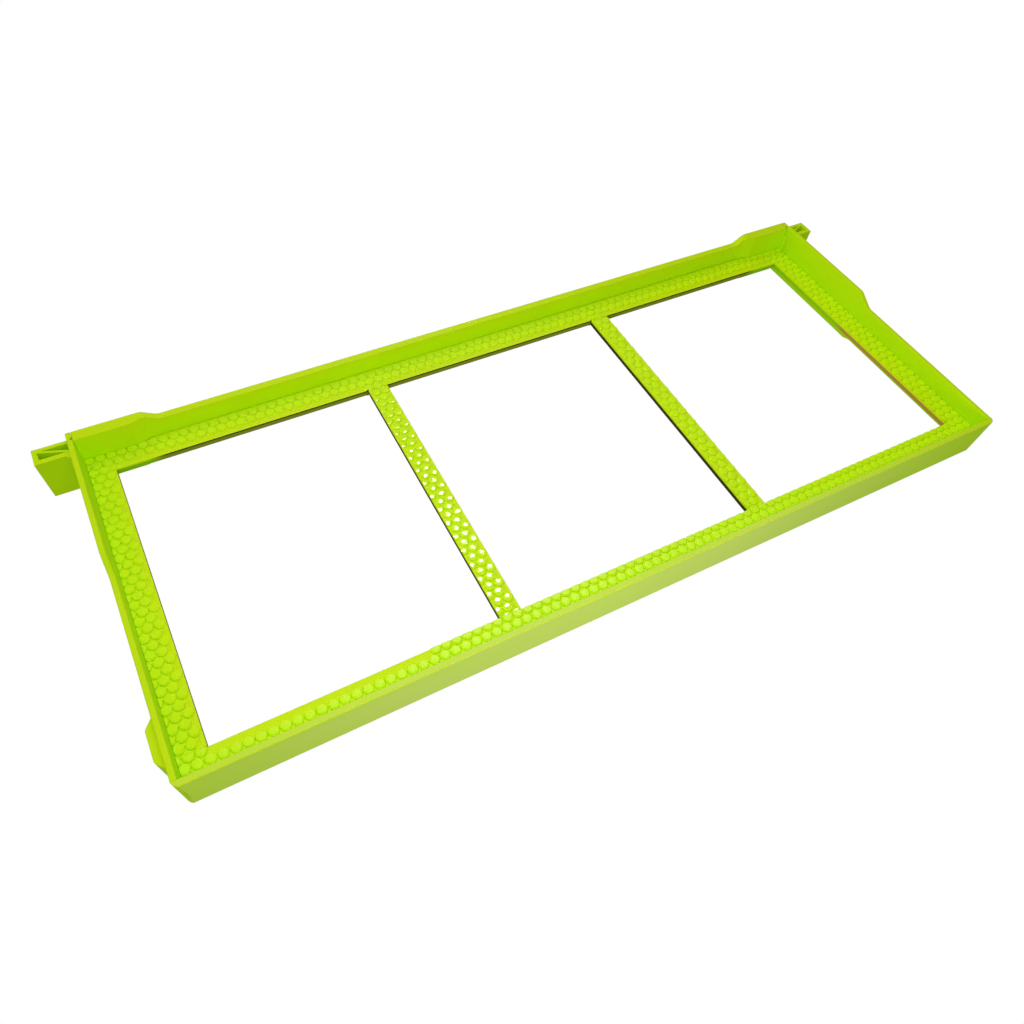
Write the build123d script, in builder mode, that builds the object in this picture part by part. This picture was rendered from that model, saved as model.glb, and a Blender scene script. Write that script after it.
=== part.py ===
from build123d import *
from math import atan2, ceil, degrees, floor, hypot, sqrt
import os

# A plastic hive frame, lying flat on one face, in millimetres.
# X runs along the top bar, Y from the bottom bar to the top bar, Z up through the frame's width.
# The origin lies on the surface under the frame, below the middle of its depth and length.

# Overall sizes
body_length = 448.0  # over the outer faces of the end bars
top_bar_length = 482.0  # from tip to tip of the lugs
frame_depth = 185.0  # over the outer faces of the top and bottom bars
rail_width = 24.0  # every bar away from its shoulders and raised ends
shoulder_high = 17.5  # from the middle of the web up to the end bars' flat shoulders
shoulder_low = 15.2  # and down to their tapered lower edges
raised_high = 16.5  # from the middle of the web up to the top bar's raised ends
raised_low = 14.5  # and down to their lower faces

# Walls of the bars
top_wall = 3.8
bottom_wall = 3.2
end_wall = 2.6
raised_end_wall = 6.0  # the top bar thickens inwards at its raised ends
parting_draft = 0.3  # lean of the bottom bar's outer face, each way from the mould's parting line
corner_radius = 4.0  # the two lower corners, seen from above
rim_round = 0.6

# Shoulders of the end bars and raised ends of the top bar
shoulder_length = 75.0  # from the top bar's outer face down to the ramp
shoulder_ramp = 10.0
taper_height = 1.7  # the shoulders' lower edges are bevelled on the inside
taper_land = 0.4  # to this flat beside the outer face
raised_end_length = 35.0  # on the upper face, from the end bar's outer face in to the ramp
raised_end_ramp = 7.0
low_end_length = 29.0  # the same on the lower face
low_end_ramp = 8.5
thick_end_length = 29.0  # full inward thickness, from the end bar's outer face in to its ramp
thick_end_ramp = 7.0
ramp_round = 5.0

# Lugs, hollowed from both faces, with a diagonal rib
lug_depth = 9.8
lug_front_wall = 2.7
lug_back_wall = 2.0
lug_tip_wall = 2.4
lug_floor = 1.6
lug_rib = 1.2
lug_flare = 3.0  # a gusset under each lug, against the end bar
neck_step = 0.4  # the neck between the end bar's prongs is this much shallower than the lug's seat

# Cell web, with raised lips above and beside the windows and a bare margin below them
window_count = 3
divider_width = 11.0
side_strip = 12.4  # visible width between the end bar and the window
top_strip = 13.7
bottom_strip = 11.6
web_thickness = 2.5
top_lip_thickness = 3.2
side_lip_thickness = 2.9  # along the side strips and dividers
top_lip = 2.2
side_lip = 2.0
bottom_margin = 2.5

# Beads like flattened balls on a hexagonal lattice, one row in two shifted by half a pitch
bead_diameter = 5.06
bead_height = 1.16
bead_crown = 10.0  # radius of the shallow crown
bead_shoulder = 1.1  # radius of the round between crown and side
bead_root = 0.3  # each bead runs this far into the web
bead_pitch = 5.115
bead_shift = 0.45  # along X, of the rows that have a bead near the middle
first_row = 5.17  # height of the lowest row above the bottom bar's outer face
bead_inset = 0.5  # least distance of a bead's centre inside a window's edge
under_inset = 2.7  # the same below the side strips and dividers, where no bead reaches the edge
bead_rest = 0.3  # least part of a bead that shows beside an end bar, or past a seam between strips
edge_row_start = -112.0  # a further row of beads runs along the lower window edges from here on

# Joints
fit_gap = 0.1
groove_depth = 1.2  # the strips' edges sit this deep in the bars
lap_length = 3.0  # half-laps between the strips and the dividers
tenon_width = 10.0  # end bars in the bottom bar
relief_width = 1.0  # a small slot in the upper rim of each end bar, beside the top bar
relief_length = 2.4
relief_depth = 2.5

# End spacers, one low on the outside of each end bar, on two pegs
spacer_start = 9.6  # from the bottom bar's outer face
spacer_length = 23.6
spacer_flat = 14.0
spacer_height = 3.9
spacer_width = 17.0
spacer_round = 2.0
peg_diameter = 4.0
peg_length = 1.2
peg_spacing = 9.0

# Planes and places that several pieces share
shoulder_width = shoulder_high + shoulder_low
mid_z = shoulder_low
half_body = body_length / 2
end_inner = half_body - end_wall
top_y = frame_depth / 2
bottom_y = -top_y
top_inner = top_y - top_wall
bottom_inner = bottom_y + bottom_wall
thick_face = top_y - raised_end_wall
lug_seat = top_y - lug_depth
neck_seat = lug_seat + neck_step
window_top = top_inner - top_strip
window_bottom = bottom_inner + bottom_strip
window_width = (2 * (end_inner - side_strip) - (window_count - 1) * divider_width) / window_count
window_step = window_width + divider_width
window_starts = [side_strip - end_inner + i * window_step for i in range(window_count)]
web_low = mid_z - web_thickness / 2
web_high = mid_z + web_thickness / 2
slot_half = web_thickness / 2 + fit_gap
row_step = bead_pitch * sqrt(3) / 2
os.makedirs("parts", exist_ok=True)


def block(low, high, mode=Mode.ADD):
    """A box in the current part, from its lowest to its highest corner."""
    with Locations(tuple((a + b) / 2 for a, b in zip(low, high))):
        Box(*[b - a for a, b in zip(low, high)], mode=mode)


def area(x_low, x_high, y_low, y_high):
    """A rectangle in the current sketch, given by its edges."""
    with Locations(((x_low + x_high) / 2, (y_low + y_high) / 2)):
        Rectangle(x_high - x_low, y_high - y_low)


def finish(piece, name):
    """Label a finished piece and write its file."""
    piece.label = name
    export_step(piece, f"parts/{name}.step")


# Plan of the body with its two rounded lower corners, which the bottom and end bars share
with BuildSketch() as body_plan:
    Rectangle(body_length, frame_depth)
    fillet(body_plan.vertices().group_by(Axis.Y)[0], corner_radius)

# Top bar: a rail with raised ends, a groove for the cell web and a hollow lug at each end
thick_start = half_body - thick_end_length
thick_ramp_start = thick_start - thick_end_ramp
lug_tip = top_bar_length / 2
pocket_size = (lug_tip - lug_tip_wall - half_body, lug_depth - lug_front_wall - lug_back_wall)
pocket_y = lug_seat + lug_front_wall + pocket_size[1] / 2
pocket_depth = (rail_width - lug_floor) / 2
rib_length = 2 * hypot(*pocket_size)

with BuildPart() as top_bar:
    with BuildSketch(Plane.XZ.offset(-top_y)) as rail_outline:
        area(fit_gap - end_inner, end_inner - fit_gap, mid_z - raised_low, mid_z + raised_high)
        for face, reach, length, ramp in (
            (1, raised_high, raised_end_length, raised_end_ramp),
            (-1, raised_low, low_end_length, low_end_ramp),
        ):
            rail_edge = mid_z + face * rail_width / 2
            raised_edge = mid_z + face * reach
            raised_start = half_body - length
            ramp_start = raised_start - ramp
            with BuildLine():
                Polyline(
                    (-raised_start, raised_edge),
                    (-ramp_start, rail_edge),
                    (ramp_start, rail_edge),
                    (raised_start, raised_edge),
                    close=True,
                )
            make_face(mode=Mode.SUBTRACT)
        ramp_ends = [v for v in rail_outline.vertices() if abs(v.X) < end_inner - ramp_round]
        fillet(ramp_ends, ramp_round)
    extrude(amount=raised_end_wall)
    with BuildSketch():
        with BuildLine():
            Polyline(
                (-thick_start, bottom_y),
                (-thick_start, thick_face),
                (-thick_ramp_start, top_inner),
                (thick_ramp_start, top_inner),
                (thick_start, thick_face),
                (thick_start, bottom_y),
                close=True,
            )
        make_face()
    extrude(amount=shoulder_width, mode=Mode.SUBTRACT)
    for side in (-1, 1):
        lug_half = rail_width / 2
        low_x, high_x = sorted((side * (end_inner - fit_gap), side * half_body))
        block((low_x, neck_seat, mid_z - lug_half), (high_x, top_y, mid_z + lug_half))
        with BuildSketch(Plane.XY.offset(mid_z - lug_half)):
            with BuildLine():
                Polyline(
                    (side * half_body, top_y),
                    (side * lug_tip, top_y),
                    (side * lug_tip, lug_seat),
                    (side * (half_body + lug_flare), lug_seat),
                    (side * half_body, lug_seat - lug_flare),
                    close=True,
                )
            make_face()
        extrude(amount=rail_width)
    block(
        (-end_inner, bottom_y, mid_z - slot_half),
        (end_inner, top_inner + groove_depth + fit_gap, mid_z + slot_half),
        mode=Mode.SUBTRACT,
    )
    for face in (1, -1):
        with BuildSketch(Plane.XY.offset(mid_z + face * rail_width / 2)):
            for side in (-1, 1):
                pocket_x = side * (half_body + pocket_size[0] / 2)
                rib_angle = side * degrees(atan2(pocket_size[1], pocket_size[0]))
                with Locations((pocket_x, pocket_y)):
                    Rectangle(*pocket_size)
                    Rectangle(rib_length, lug_rib, rotation=rib_angle, mode=Mode.SUBTRACT)
        extrude(amount=-face * pocket_depth, mode=Mode.SUBTRACT)
finish(top_bar.part, "top_bar")

# Bottom bar: a plain rail, leaning a little each way from the parting line along its outer face
with BuildPart() as bottom_bar:
    with BuildSketch(Plane.YZ) as rail_section:
        low_z, high_z = mid_z - rail_width / 2, mid_z + rail_width / 2
        with BuildLine():
            Polyline(
                (bottom_y, mid_z),
                (bottom_y + parting_draft, low_z),
                (bottom_inner, low_z),
                (bottom_inner, high_z),
                (bottom_y + parting_draft, high_z),
                close=True,
            )
        make_face()
        outer_rims = rail_section.vertices().group_by(Axis.X)[1]
        fillet(outer_rims, rim_round)
    extrude(amount=half_body, both=True)
    add(body_plan.sketch)
    extrude(amount=shoulder_width, mode=Mode.INTERSECT)
    block(
        (-end_inner, bottom_inner - groove_depth - fit_gap, mid_z - slot_half),
        (end_inner, bottom_inner, mid_z + slot_half),
        mode=Mode.SUBTRACT,
    )
    for side in (-1, 1):
        low_x, high_x = sorted((side * (end_inner - fit_gap), side * half_body))
        notch_half = tenon_width / 2 + fit_gap
        block(
            (low_x, bottom_y, mid_z - notch_half),
            (high_x, bottom_inner, mid_z + notch_half),
            mode=Mode.SUBTRACT,
        )
finish(bottom_bar.part, "bottom_bar")


def end_bar(side):
    """An end bar: a plate with wide shoulders, a fork round the lug's neck and a tenon below."""
    shoulder_y = top_y - shoulder_length
    ramp_y = shoulder_y - shoulder_ramp
    with BuildPart() as bar:
        with BuildSketch(Plane.YZ.offset(min(side * end_inner, side * half_body))) as outline:
            area(bottom_inner, top_y, 0, shoulder_width)
            for face, reach in ((1, shoulder_high), (-1, shoulder_low)):
                narrow_z = mid_z + face * rail_width / 2
                wide_z = mid_z + face * reach
                with BuildLine():
                    Polyline(
                        (bottom_inner, narrow_z),
                        (ramp_y, narrow_z),
                        (shoulder_y, wide_z),
                        (bottom_inner, wide_z),
                        close=True,
                    )
                make_face(mode=Mode.SUBTRACT)
            fillet(outline.vertices().sort_by(Axis.X)[2:6], ramp_round)
        extrude(amount=end_wall)
        upper_edges = [e for e in bar.edges() if e.center().Y > bottom_inner + rim_round]
        rim_edges = [e for e in upper_edges if e.center().Z > mid_z and abs(e.tangent_at(0.5).X) < 0.5]
        fillet(rim_edges, rim_round)
        with BuildSketch(Plane.XZ.offset(-top_y)):
            with BuildLine():
                Polyline(
                    (side * end_inner, 0),
                    (side * end_inner, taper_height),
                    (side * (half_body - taper_land), 0),
                    close=True,
                )
            make_face()
        extrude(amount=frame_depth, mode=Mode.SUBTRACT)
        fork_half = rail_width / 2 + fit_gap
        low_x, high_x = sorted((side * end_inner, side * half_body))
        block(
            (low_x, neck_seat - fit_gap, mid_z - fork_half),
            (high_x, top_y, mid_z + fork_half),
            mode=Mode.SUBTRACT,
        )
        block(
            (low_x, thick_face, mid_z + raised_high),
            (high_x, top_y, shoulder_width),
            mode=Mode.SUBTRACT,
        )
        relief_low, relief_high = sorted((side * end_inner, side * (end_inner + relief_width)))
        block(
            (relief_low, thick_face, shoulder_width - relief_depth),
            (relief_high, thick_face + relief_length, shoulder_width),
            mode=Mode.SUBTRACT,
        )
        tenon_half = tenon_width / 2
        block((low_x, bottom_y, mid_z - tenon_half), (high_x, bottom_inner, mid_z + tenon_half))
        add(body_plan.sketch)
        extrude(amount=shoulder_width, mode=Mode.INTERSECT)
        groove_x = side * (end_inner + groove_depth + fit_gap)
        low_x, high_x = sorted((side * end_inner, groove_x))
        block(
            (low_x, bottom_inner, mid_z - slot_half),
            (high_x, neck_seat - fit_gap, mid_z + slot_half),
            mode=Mode.SUBTRACT,
        )
        with BuildSketch(Plane.YZ.offset(side * half_body)):
            with Locations((bottom_y + spacer_start + spacer_length / 2, mid_z)):
                with GridLocations(0, peg_spacing, 1, 2):
                    Circle(peg_diameter / 2 + fit_gap)
        extrude(amount=-side * (peg_length + fit_gap), mode=Mode.SUBTRACT)
    return bar.part


finish(end_bar(-1), "left_end_bar")
finish(end_bar(1), "right_end_bar")


def end_spacer(side):
    """A rounded spacer block on the outside of an end bar, with two pegs in the bar's holes."""
    base_y = bottom_y + spacer_start
    ramp = (spacer_length - spacer_flat) / 2
    crown_x = side * (half_body + spacer_height)
    with BuildPart() as spacer:
        with BuildSketch(Plane.XY.offset(mid_z - spacer_width / 2)) as profile:
            with BuildLine():
                Polyline(
                    (side * half_body, base_y),
                    (crown_x, base_y + ramp),
                    (crown_x, base_y + ramp + spacer_flat),
                    (side * half_body, base_y + spacer_length),
                    close=True,
                )
            make_face()
            crown = [v for v in profile.vertices() if abs(v.X) > half_body + rim_round]
            fillet(crown, spacer_round)
        extrude(amount=spacer_width)
        with BuildSketch(Plane.YZ.offset(side * half_body)):
            with Locations((base_y + spacer_length / 2, mid_z)):
                with GridLocations(0, peg_spacing, 1, 2):
                    Circle(peg_diameter / 2)
        extrude(amount=-side * peg_length)
    return spacer.part


finish(end_spacer(-1), "left_end_spacer")
finish(end_spacer(1), "right_end_spacer")


def bead_places(x_low, x_high, y_low, y_high):
    """The points of the bead lattice inside a rectangle."""
    places = []
    start_y = bottom_y + first_row
    for row in range(ceil((y_low - start_y) / row_step), floor((y_high - start_y) / row_step) + 1):
        shift = bead_shift + (bead_pitch / 2 if row % 2 == 0 else 0)
        first = ceil((x_low - shift) / bead_pitch)
        last = floor((x_high - shift) / bead_pitch)
        places += [
            (shift + column * bead_pitch, start_y + row * row_step)
            for column in range(first, last + 1)
        ]
    return places


# One bead, standing on its root
bead_base = web_thickness / 2 - bead_root
bead_top = bead_root + bead_height
with BuildPart() as bead:
    with BuildSketch(Plane.XZ) as half_bead:
        area(0, bead_diameter / 2, 0, bead_top)
        with Locations((0, bead_top - bead_crown)):
            Circle(bead_crown, mode=Mode.INTERSECT)
        side_ends = half_bead.vertices().group_by(Axis.X)[-1]
        fillet(side_ends.sort_by(Axis.Y)[-1], bead_shoulder)
    revolve(axis=Axis.Z)


def beaded_strip(outline, tongues, laps, lips, lip_height, beads, under_beads):
    """A web with lips and beads on both faces, trimmed to its outline, tongues and half-laps."""
    reach = frame_depth + body_length
    with BuildPart() as room:
        with BuildSketch():
            with BuildLine():
                Polyline(*outline, close=True)
            make_face()
        extrude(amount=shoulder_width)
        for tongue in tongues:
            block(*tongue)
        for lap in laps:
            block(*lap, mode=Mode.SUBTRACT)
    with BuildPart() as strip:
        with BuildSketch(Plane.XY.offset(web_low)):
            Rectangle(reach, reach)
        extrude(amount=web_thickness)
        for x_low, x_high, y_low, y_high in lips:
            block((x_low, y_low, mid_z - lip_height / 2), (x_high, y_high, mid_z + lip_height / 2))
        places = [Location((x, y, mid_z + bead_base)) for x, y in beads]
        places += [Location((x, y, mid_z - bead_base), (180, 0, 0)) for x, y in under_beads]
        with Locations(*places):
            add(bead.part)
        add(room.part, mode=Mode.INTERSECT)
    return strip.part


# Columns between and beside the windows: the two side strips and the dividers
field_x = end_inner - fit_gap
tongue_x = end_inner + groove_depth
column_edges = [(-field_x, window_starts[0])]
for start in window_starts[:-1]:
    column_edges.append((start + window_width, start + window_step))
column_edges.append((window_starts[-1] + window_width, field_x))
last_column = len(column_edges) - 1
seam_reach = bead_diameter / 2 - bead_rest


def bead_span(number, inset):
    """How far a column's beads go along X: to an inset from its windows, and right up to an end bar."""
    low, high = column_edges[number]
    span_low = low - seam_reach if number == 0 else low + inset
    span_high = high + seam_reach if number == last_column else high - inset
    return span_low, span_high


def junction_beads(y_low, y_high):
    """Beads of a long strip where the columns run into it."""
    places = []
    for number in range(len(column_edges)):
        places += bead_places(*bead_span(number, bead_inset), y_low, y_high)
    return places


def long_strip(outline, lips, beads, inner_y, bar_edge, groove_end, side_end):
    """The top or bottom strip: tongues for the bars' grooves, and half-laps for the columns."""
    low_y, high_y = sorted((bar_edge, groove_end))
    tongues = [((-field_x, low_y, web_low), (field_x, high_y, web_high))]
    low_y, high_y = sorted((inner_y, side_end))
    for side in (-1, 1):
        low_x, high_x = sorted((side * field_x, side * tongue_x))
        tongues.append(((low_x, low_y, web_low), (high_x, high_y, web_high)))
    lap_depth = lap_length + fit_gap
    low_y, high_y = sorted((inner_y, inner_y + (lap_depth if bar_edge > inner_y else -lap_depth)))
    laps = []
    for number, (low, high) in enumerate(column_edges):
        low_x = -tongue_x if number == 0 else low - fit_gap
        high_x = tongue_x if number == last_column else high + fit_gap
        laps.append(((low_x, low_y, 0), (high_x, high_y, mid_z)))
    return beaded_strip(outline, tongues, laps, lips, top_lip_thickness, beads, beads)


# Top strip, cut back where the top bar thickens
window_lips = [(start - side_lip, start + window_width + side_lip) for start in window_starts]
bead_x = field_x + seam_reach
field_top = top_inner - fit_gap
thick_top = thick_face - fit_gap
top_outline = [
    (-field_x, window_top),
    (-field_x, thick_top),
    (-thick_start, thick_top),
    (-thick_ramp_start, field_top),
    (thick_ramp_start, field_top),
    (thick_start, thick_top),
    (field_x, thick_top),
    (field_x, window_top),
]
lip_edge = window_top + top_lip
top_lips = [(low, high, window_top, lip_edge) for low, high in window_lips]
top_beads = bead_places(-bead_x, bead_x, lip_edge, field_top)
top_beads += junction_beads(window_top - seam_reach, lip_edge)
top_groove_end = top_inner + groove_depth
side_end = neck_seat - 2 * fit_gap
finish(
    long_strip(top_outline, top_lips, top_beads, window_top, thick_top, top_groove_end, side_end),
    "top_cell_strip",
)

# Bottom strip, bare along its windows until a further row of beads starts there
field_bottom = bottom_inner + fit_gap
bottom_outline = [
    (-field_x, field_bottom),
    (field_x, field_bottom),
    (field_x, window_bottom),
    (-field_x, window_bottom),
]
margin_edge = window_bottom - bottom_margin
bottom_beads = bead_places(-bead_x, bead_x, field_bottom, margin_edge)
bottom_beads += junction_beads(margin_edge, window_bottom + seam_reach)
for start in window_starts:
    edge_low = max(start + bead_inset, edge_row_start)
    edge_high = start + window_width - bead_inset
    bottom_beads += bead_places(edge_low, edge_high, margin_edge, window_bottom - bead_inset)
bottom_groove_end = bottom_inner - groove_depth
finish(
    long_strip(
        bottom_outline,
        [],
        bottom_beads,
        window_bottom,
        field_bottom,
        bottom_groove_end,
        field_bottom,
    ),
    "bottom_cell_strip",
)


def column(number, name):
    """A side strip or divider, lapped half its thickness into the top and bottom strips.

    The last one has no lip: its beads run out to the window.
    """
    low, high = column_edges[number]
    lap_low, lap_high = window_bottom - lap_length, window_top + lap_length
    outline = [(low, lap_low), (high, lap_low), (high, lap_high), (low, lap_high)]
    lips, tongues = [], []
    if number == 0:
        tongues.append(((-tongue_x, lap_low, web_low), (low, lap_high, web_high)))
    elif number < last_column:
        lips.append((low, low + side_lip, lap_low, lap_high))
    if number < last_column:
        lips.append((high - side_lip, high, lap_low, lap_high))
    else:
        tongues.append(((high, lap_low, web_low), (tongue_x, lap_high, web_high)))
    laps = [
        ((-half_body, low_y, mid_z), (half_body, high_y, shoulder_width))
        for low_y, high_y in ((lap_low, window_bottom), (window_top, lap_high))
    ]
    reach_low, reach_high = lap_low - seam_reach, lap_high + seam_reach
    beads, under_beads = (
        bead_places(*bead_span(number, inset), reach_low, reach_high)
        for inset in (bead_inset, under_inset)
    )
    strip = beaded_strip(outline, tongues, laps, lips, side_lip_thickness, beads, under_beads)
    finish(strip, name)


column(0, "left_cell_strip")
for number in range(1, last_column):
    column(number, f"divider_{number}")
column(last_column, "right_cell_strip")
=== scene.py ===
import math

import bpy
from mathutils import Matrix, Vector


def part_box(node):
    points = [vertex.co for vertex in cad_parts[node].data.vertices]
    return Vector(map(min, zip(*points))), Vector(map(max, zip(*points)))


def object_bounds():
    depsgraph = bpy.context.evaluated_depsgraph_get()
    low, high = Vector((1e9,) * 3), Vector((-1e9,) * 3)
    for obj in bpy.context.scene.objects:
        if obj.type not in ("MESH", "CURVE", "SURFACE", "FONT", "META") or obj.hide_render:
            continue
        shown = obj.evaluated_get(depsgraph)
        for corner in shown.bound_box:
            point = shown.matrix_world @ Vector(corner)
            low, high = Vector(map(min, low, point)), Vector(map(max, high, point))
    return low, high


# A lime-green plastic hive frame, lying flat on a white table.
# Metres, in the frame's own axes: X along the top bar, Y from the bottom bar to the top bar, Z up.

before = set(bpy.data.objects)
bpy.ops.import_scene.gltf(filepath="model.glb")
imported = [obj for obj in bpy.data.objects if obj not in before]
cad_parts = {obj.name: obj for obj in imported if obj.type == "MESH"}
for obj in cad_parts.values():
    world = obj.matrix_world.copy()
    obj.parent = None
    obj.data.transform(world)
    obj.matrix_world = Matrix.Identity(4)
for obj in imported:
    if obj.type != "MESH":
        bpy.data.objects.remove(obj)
cad_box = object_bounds()
WEB_Z = sum(corner.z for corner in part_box("divider_1")) / 2

# Colours of the plastic, linear
WALL_LIME = (0.560, 0.900, 0.002)
# Painted light: the top bar's walls in a brighter copy of the wall lime
LIT_TOP_WALL_LIME = (0.640, 0.965, 0.002)
# Painted light: the level faces of the bars in a paler, yellower lime than their walls
LIT_RIM_LIME = (0.620, 0.850, 0.004)
BEAD_LIME = (0.680, 0.980, 0.002)
# Painted light: the level lips and web of the strips in a paler lime than the beads
LIT_LIP_LIME = (0.690, 0.910, 0.003)
# Painted sheen: a pale reflection laid on the bottom bar
SHEEN_LIME = (0.650, 0.810, 0.170)
# Painted shade and shadow on the window edges: olive, near-black and brown
OLIVE_EDGE_SHADE = (0.270, 0.320, 0.020)
DARK_EDGE_SHADE = (0.040, 0.050, 0.003)
BROWN_EDGE_SHADE = (0.500, 0.300, 0.050)
# Painted light: a lit green for window edges near some ends
LIT_GREEN_EDGE = (0.290, 0.660, 0.003)

# How far the lime is darkened in its clouds, and by painted shade in creases, and the most of the clouds that
# shows
CLOUD_DARK, PAINTED_CREASE_SHADE = 0.92, 0.90
CLOUD_SHARE = 0.4

# Gloss: roughness of bead tops, range of the bars' roughness, and how strongly bars and cells mirror
DULL, SATIN, GLOSSY = 1.0, 0.60, 0.12
BAR_ROUGHNESS = (0.60, 0.75)
BAR_SHINE, CELL_SHINE = 0.05, 0.14
PLASTIC_IOR = 1.45

# Patterns: features a metre, and detail
CLOUDS, GLOSS_PATCHES, SHEEN_STREAKS, GRAIN = (38, 3), (90, 4), (260, 4), (1800, 2)

# Ranges over which a pattern, an open corner (the painted shade in creases) or a face's direction changes a
# finish
CLOUD_RANGE, GLOSS_RANGE, SHEEN_RANGE = (0.35, 0.75), (0.3, 0.7), (0.25, 0.75)
CREASE_RANGE = (0.20, 0.50)
LEVEL_FACES, EDGE_FACES, SHEEN_FACES = (0.60, 0.98), (0.80, 0.95), (0.80, 0.97)

# Relief: reach of the painted shade in creases, radius of softened edges, strength and height of the grain,
# rays for each
CREASE_REACH, EDGE_RADIUS = 0.0010, 0.0004
GRAIN_STRENGTH, GRAIN_HEIGHT = 0.10, 0.0001
RELIEF_RAYS = 6

# Heights from the middle of the web: between which bead tops turn glossy, under which lips have their own
# paler lime of painted light, and over which a window edge's painted shade has its line. Then how deep an
# edge's colour goes, and how softly the lips' lime, the line and the green end
GLOSS_HEIGHT = (0.00220, 0.00227)
LIP_BELOW, EDGE_LINE_ABOVE = 0.0017, 0.0007
ANY_HEIGHT = 1.0
EDGE_DEPTH = 0.0002
LIP_FADE, LINE_FADE, GREEN_FADE = 0.0001, 0.0002, 0.004

# Painted sheen on the bottom bar, a pale reflection in streaks: share on its rim, least share of a streak, how
# much longer streaks are along X, their middle, how far from it they fade, and what is left at the ends
RIM_SHEEN, STREAK_LEAST = 0.55, 0.55
STREAK_SQUEEZE = (0.06, 1.0, 1.0)
SHEEN_MIDDLE, SHEEN_FADE, SHEEN_AT_ENDS = -0.03, (0.10, 0.26), 0.05

# The end pieces, and for each strip of cells the axis across it, the colours painted on its window edges,
# mostly as shade (most of the edge, and the line along its top) and the roughness of its bead tops
END_PIECES = ("left_end_bar", "right_end_bar", "left_end_spacer", "right_end_spacer")
STRIPS = {
    "top_cell_strip": ("Y", OLIVE_EDGE_SHADE, DARK_EDGE_SHADE, DULL),
    "bottom_cell_strip": ("Y", OLIVE_EDGE_SHADE, DARK_EDGE_SHADE, SATIN),
    "left_cell_strip": ("X", OLIVE_EDGE_SHADE, DARK_EDGE_SHADE, DULL),
    "divider_1": ("X", DARK_EDGE_SHADE, LIT_LIP_LIME, GLOSSY),
    "divider_2": ("X", DARK_EDGE_SHADE, LIT_LIP_LIME, GLOSSY),
    "right_cell_strip": ("X", BROWN_EDGE_SHADE, LIT_LIP_LIME, DULL),
}

# Where a strip's window edge is painted a lit green instead of shade: the axis along it, and how far from the
# middle that starts
GREEN_FROM = {"top_cell_strip": ("X", 0.189), "right_cell_strip": ("Y", 0.012)}

# Camera: where it stands, and the directions of its right, up and back
CAMERA_AT = Vector((-0.17152, -0.20173, WEB_Z + 0.30165))
CAMERA_RIGHT = Vector((0.88507, -0.46010, 0.07044))
CAMERA_UP = Vector((0.35502, 0.76516, 0.53711))
CAMERA_BACK = Vector((-0.30103, -0.45037, 0.84056))
LENS_MM = 26.30
SENSOR_MM = 36.0
SHIFT = (0.0233, 0.0330)
NEAREST_SEEN = 0.01

# Light of the sky: its mean, and what a step along each axis adds
SKY = 0.50
SKY_SLOPE = (-0.12, 0.17, 0.0)

# The lamp that glints on the first divider: the beads that it faces, and the way and distance to it
GLINT_BEADS = Vector((-0.071, -0.042, WEB_Z))
GLINT_WAY = Vector((0.28, 0.44, 0.85)).normalized()
GLINT_DISTANCE = 0.45
GLINT_BEAM = math.radians(60)

TABLE_REACH = 4.0

# Sockets of Blender's Mix node, which have the same names for numbers and for colours
MIX_NUMBERS, MIX_COLOURS, MIXED_COLOUR = (2, 3), (6, 7), 2


class Nodes:
    """A material's node tree, with short calls for adding and linking nodes."""

    def __init__(self, name):
        self.material = bpy.data.materials.new(name)
        self.material.use_nodes = True
        self.tree = self.material.node_tree
        self.shader = self.tree.nodes["Principled BSDF"]

    def add(self, kind, inputs=None, **settings):
        """A new node, with values for its inputs and its settings."""
        node = self.tree.nodes.new(kind)
        for key, value in settings.items():
            setattr(node, key, value)
        for key, value in (inputs or {}).items():
            node.inputs[key].default_value = value
        return node

    def link(self, out, into):
        self.tree.links.new(out, into)

    def math(self, operation, *values):
        """A calculation on numbers, each a number or a socket."""
        node = self.add("ShaderNodeMath", operation=operation)
        for socket, value in zip(node.inputs, values):
            if isinstance(value, (int, float)):
                socket.default_value = value
            else:
                self.link(value, socket)
        return node.outputs[0]

    def apart(self, vector):
        """A vector's three numbers, by the names of their axes."""
        node = self.add("ShaderNodeSeparateXYZ")
        self.link(vector, node.inputs[0])
        return node.outputs

    def noise(self, place, scale, detail):
        """Noise of so many features a metre, from 0 to 1."""
        node = self.add("ShaderNodeTexNoise", {"Scale": scale, "Detail": detail})
        self.link(place, node.inputs["Vector"])
        return node.outputs["Fac"]

    def span(self, value, source, target):
        """A value carried from one range to another, and held at its ends."""
        keys = ("From Min", "From Max", "To Min", "To Max")
        node = self.add("ShaderNodeMapRange", dict(zip(keys, (*source, *target))))
        self.link(value, node.inputs["Value"])
        return node.outputs["Result"]

    def blend(self, share, first, second):
        """A colour between two others, each a colour or a socket."""
        node = self.add("ShaderNodeMix", data_type="RGBA")
        for key, colour in zip(MIX_COLOURS, (first, second)):
            if isinstance(colour, tuple):
                node.inputs[key].default_value = (*colour, 1)
            else:
                self.link(colour, node.inputs[key])
        self.link(share, node.inputs[0])
        return node.outputs[MIXED_COLOUR]


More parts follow.
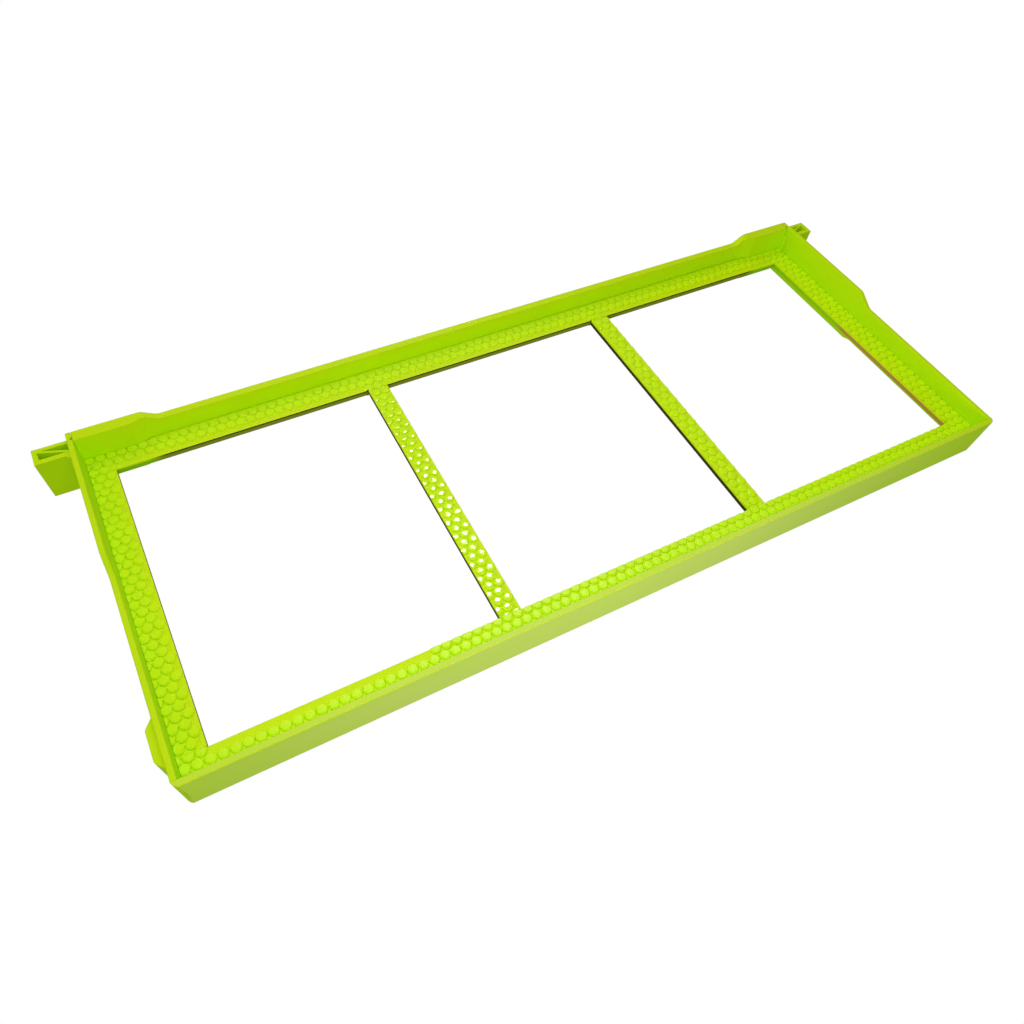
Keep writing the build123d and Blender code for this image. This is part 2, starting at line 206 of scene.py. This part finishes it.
class Plastic(Nodes):
    """Moulded plastic: cloudy lime, with painted shade in its creases, a fine grain and softened edges.

    Level faces have a paler, yellower lime of their own, which is painted light, within a height from the
    middle of the web.
    """

    def __init__(self, name, upright, lit_level_lime, shine, level_below=ANY_HEIGHT):
        super().__init__(name)
        texture = self.add("ShaderNodeTexCoord")
        self.where = texture.outputs["Object"]
        self.place = self.apart(self.where)
        self.normal = self.apart(texture.outputs["Normal"])
        self.above_web = self.math("SUBTRACT", self.place["Z"], WEB_Z)
        self.from_web = self.math("ABSOLUTE", self.above_web)
        self.lime = upright
        self.shader.inputs["IOR"].default_value = PLASTIC_IOR
        self.shader.inputs["Specular IOR Level"].default_value = shine

        # Painted light: level faces, up to a height, take their paler lime
        tilt = self.span(self.math("ABSOLUTE", self.normal["Z"]), LEVEL_FACES, (0, 1))
        low = self.span(self.from_web, (level_below, level_below + LIP_FADE), (1, 0))
        self.paint(self.math("MULTIPLY", tilt, low), lit_level_lime)
        cloudy = self.span(self.noise(self.where, *CLOUDS), CLOUD_RANGE, (0, CLOUD_SHARE))
        self.paint(cloudy, tuple(c * CLOUD_DARK for c in upright))
        rays = {"samples": RELIEF_RAYS, "only_local": True}
        # Painted shade: the lime darkens where the surface is closed in, in creases and between beads
        crease = self.add("ShaderNodeAmbientOcclusion", {"Distance": CREASE_REACH}, **rays)
        shade_share = self.span(crease.outputs["AO"], CREASE_RANGE, (1, 0))
        self.paint(shade_share, tuple(c * PAINTED_CREASE_SHADE for c in upright))
        self.soften()

    def paint(self, share, colour):
        """Lay a colour over the ones before it, where its share is 1."""
        self.lime = self.blend(share, self.lime, colour)
        self.link(self.lime, self.shader.inputs["Base Color"])

    def roughen(self, roughness):
        self.link(roughness, self.shader.inputs["Roughness"])

    def soften(self):
        """Round the edges a little and give the surface a fine grain."""
        soft_edge = self.add("ShaderNodeBevel", {"Radius": EDGE_RADIUS}, samples=RELIEF_RAYS)
        grain = self.add("ShaderNodeBump", {"Strength": GRAIN_STRENGTH, "Distance": GRAIN_HEIGHT})
        self.link(self.noise(self.where, *GRAIN), grain.inputs["Height"])
        self.link(soft_edge.outputs["Normal"], grain.inputs["Normal"])
        self.link(grain.outputs["Normal"], self.shader.inputs["Normal"])


def bar_plastic(name, upright):
    """A bar's plastic: its rim has its own paler lime of painted light, and its gloss is patchy."""
    n = Plastic(name, upright, LIT_RIM_LIME, BAR_SHINE)
    n.roughen(n.span(n.noise(n.where, *GLOSS_PATCHES), GLOSS_RANGE, BAR_ROUGHNESS))
    return n


def sheened_bar_plastic(name, upright):
    """The bottom bar's plastic: painted sheen in long pale streaks, most on its outer face, least near the
    ends.
    """
    n = bar_plastic(name, upright)
    # Painted sheen: a pale reflection in streaks on the outer face and the rim
    outer = n.span(n.math("MULTIPLY", n.normal["Y"], -1.0), SHEEN_FACES, (0, 1))
    rim = n.span(n.normal["Z"], SHEEN_FACES, (0, RIM_SHEEN))
    stretch = n.add("ShaderNodeMapping", {"Scale": STREAK_SQUEEZE}, vector_type="POINT")
    n.link(n.where, stretch.inputs["Vector"])
    streaks = n.span(n.noise(stretch.outputs["Vector"], *SHEEN_STREAKS), SHEEN_RANGE, (STREAK_LEAST, 1))
    off_middle = n.math("ABSOLUTE", n.math("SUBTRACT", n.place["X"], SHEEN_MIDDLE))
    sheen = n.math("MULTIPLY", streaks, n.span(off_middle, SHEEN_FADE, (1, SHEEN_AT_ENDS)))
    n.paint(n.math("MULTIPLY", sheen, n.math("ADD", outer, rim)), SHEEN_LIME)
    return n


def cell_plastic(node, across, edge, edge_line, bead_tops):
    """A strip's plastic: bead tops with their own gloss, and window edges painted with shade of other colours,
    lit green near some ends.
    """
    n = Plastic(f"{node}_plastic", BEAD_LIME, LIT_LIP_LIME, CELL_SHINE, LIP_BELOW)
    n.roughen(n.span(n.from_web, GLOSS_HEIGHT, (DULL, bead_tops)))
    low, high = (corner["XYZ".index(across)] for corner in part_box(node))
    outward = n.math("SUBTRACT", n.place[across], (low + high) / 2)
    facing = n.math("MULTIPLY", n.normal[across], n.math("SIGN", outward))
    outermost = n.math("GREATER_THAN", n.math("ABSOLUTE", outward), (high - low) / 2 - EDGE_DEPTH)
    # Painted shade: the outermost faces at the windows take the edge's dark colours
    edge_shade_mask = n.math("MULTIPLY", outermost, n.span(facing, EDGE_FACES, (0, 1)))
    # Painted light: near some ends the edge's painted shade turns to a lit green
    if node in GREEN_FROM:
        along, start = GREEN_FROM[node]
        reach = n.math("ABSOLUTE", n.place[along]) if along == "X" else n.place[along]
        green = n.span(reach, (start - GREEN_FADE, start + GREEN_FADE), (0, 1))
        edge = n.blend(green, edge, LIT_GREEN_EDGE)
        edge_line = n.blend(green, edge_line, LIT_LIP_LIME)
    on_line = n.span(n.above_web, (EDGE_LINE_ABOVE, EDGE_LINE_ABOVE + LINE_FADE), (0, 1))
    n.paint(edge_shade_mask, n.blend(on_line, edge, edge_line))
    return n


def dress(node, finish):
    """Give a CAD node a finish in place of its plain material."""
    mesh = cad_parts[node].data
    mesh.materials.clear()
    mesh.materials.append(finish.material)


end_plastic = bar_plastic("bar_plastic", WALL_LIME)
for end_piece in END_PIECES:
    dress(end_piece, end_plastic)
# The top bar gets the brighter, painted-light copy of the wall lime
dress("top_bar", bar_plastic("top_bar_plastic", LIT_TOP_WALL_LIME))
dress("bottom_bar", sheened_bar_plastic("bottom_bar_plastic", WALL_LIME))
for strip, trim in STRIPS.items():
    dress(strip, cell_plastic(strip, *trim))


def table_top():
    """A plain white table top under the frame, wide enough to fill the picture."""
    low = cad_box[0][2]
    mesh = bpy.data.meshes.new("table_top")
    corners = [(x * TABLE_REACH, y * TABLE_REACH, low) for x, y in ((-1, -1), (1, -1), (1, 1), (-1, 1))]
    mesh.from_pydata(corners, [], [(0, 1, 2, 3)])
    n = Nodes("table_white")
    n.shader.inputs["Base Color"].default_value = (0, 0, 0, 1)
    n.shader.inputs["Roughness"].default_value = 1.0
    n.shader.inputs["Specular IOR Level"].default_value = 0.0
    n.shader.inputs["Emission Color"].default_value = (1, 1, 1, 1)
    n.shader.inputs["Emission Strength"].default_value = 1.0
    mesh.materials.append(n.material)
    table = bpy.data.objects.new("table_top", mesh)
    table.visible_diffuse = False
    table.visible_glossy = False
    bpy.context.collection.objects.link(table)


def soft_light(name, place, target, size, power, spread=math.pi, matt=True, glossy=False):
    """A square light that faces a point, with a beam's angle, on the matt or the glossy side of a finish."""
    data = bpy.data.lights.new(name, "AREA")
    data.shape = "SQUARE"
    data.size = size
    data.energy = power
    data.spread = spread
    light = bpy.data.objects.new(name, data)
    light.location = place
    light.rotation_euler = (Vector(target) - Vector(place)).to_track_quat("-Z", "Y").to_euler()
    light.visible_camera = False
    light.visible_diffuse = matt
    light.visible_glossy = glossy
    bpy.context.collection.objects.link(light)


def sky():
    """A sky that lights the frame from below too, and looks plain white."""
    world = bpy.data.worlds.new("studio")
    world.use_nodes = True
    nodes, links = world.node_tree.nodes, world.node_tree.links
    way = nodes.new("ShaderNodeTexCoord")
    slope = nodes.new("ShaderNodeVectorMath")
    slope.operation = "DOT_PRODUCT"
    slope.inputs[1].default_value = SKY_SLOPE
    light = nodes.new("ShaderNodeMath")
    light.inputs[1].default_value = SKY
    links.new(way.outputs["Generated"], slope.inputs[0])
    links.new(slope.outputs["Value"], light.inputs[0])
    seen = nodes.new("ShaderNodeLightPath")
    strength = nodes.new("ShaderNodeMix")
    unseen, white = (strength.inputs[key] for key in MIX_NUMBERS)
    white.default_value = 1.0
    links.new(seen.outputs["Is Camera Ray"], strength.inputs[0])
    links.new(light.outputs[0], unseen)
    links.new(strength.outputs[0], nodes["Background"].inputs["Strength"])
    nodes["Background"].inputs["Color"].default_value = (1, 1, 1, 1)
    bpy.context.scene.world = world


table_top()
soft_light("key", (-0.10, -0.10, 0.40), (-0.10, -0.09, 0), size=0.25, power=0.45)
soft_light("back", (-0.22, 0.55, 0.95), (-0.05, 0, 0), size=0.2, power=1.1)
soft_light("front_fill", (-0.04, -0.36, 0.06), (-0.04, -0.09, 0.02), size=0.1, power=0.30)
soft_light(
    "glint", GLINT_BEADS + GLINT_DISTANCE * GLINT_WAY, GLINT_BEADS, size=0.12, power=1.05,
    spread=GLINT_BEAM, matt=False, glossy=True,
)
sky()
bpy.context.scene.view_settings.view_transform = "Standard"

camera_data = bpy.data.cameras.new("camera")
camera_data.lens = LENS_MM
camera_data.sensor_width = SENSOR_MM
camera_data.shift_x, camera_data.shift_y = SHIFT
camera_data.clip_start = NEAREST_SEEN
camera = bpy.data.objects.new("camera", camera_data)
turn = Matrix((CAMERA_RIGHT, CAMERA_UP, CAMERA_BACK)).transposed()
camera.matrix_world = Matrix.Translation(CAMERA_AT) @ turn.to_4x4()
bpy.context.collection.objects.link(camera)
bpy.context.scene.camera = camera
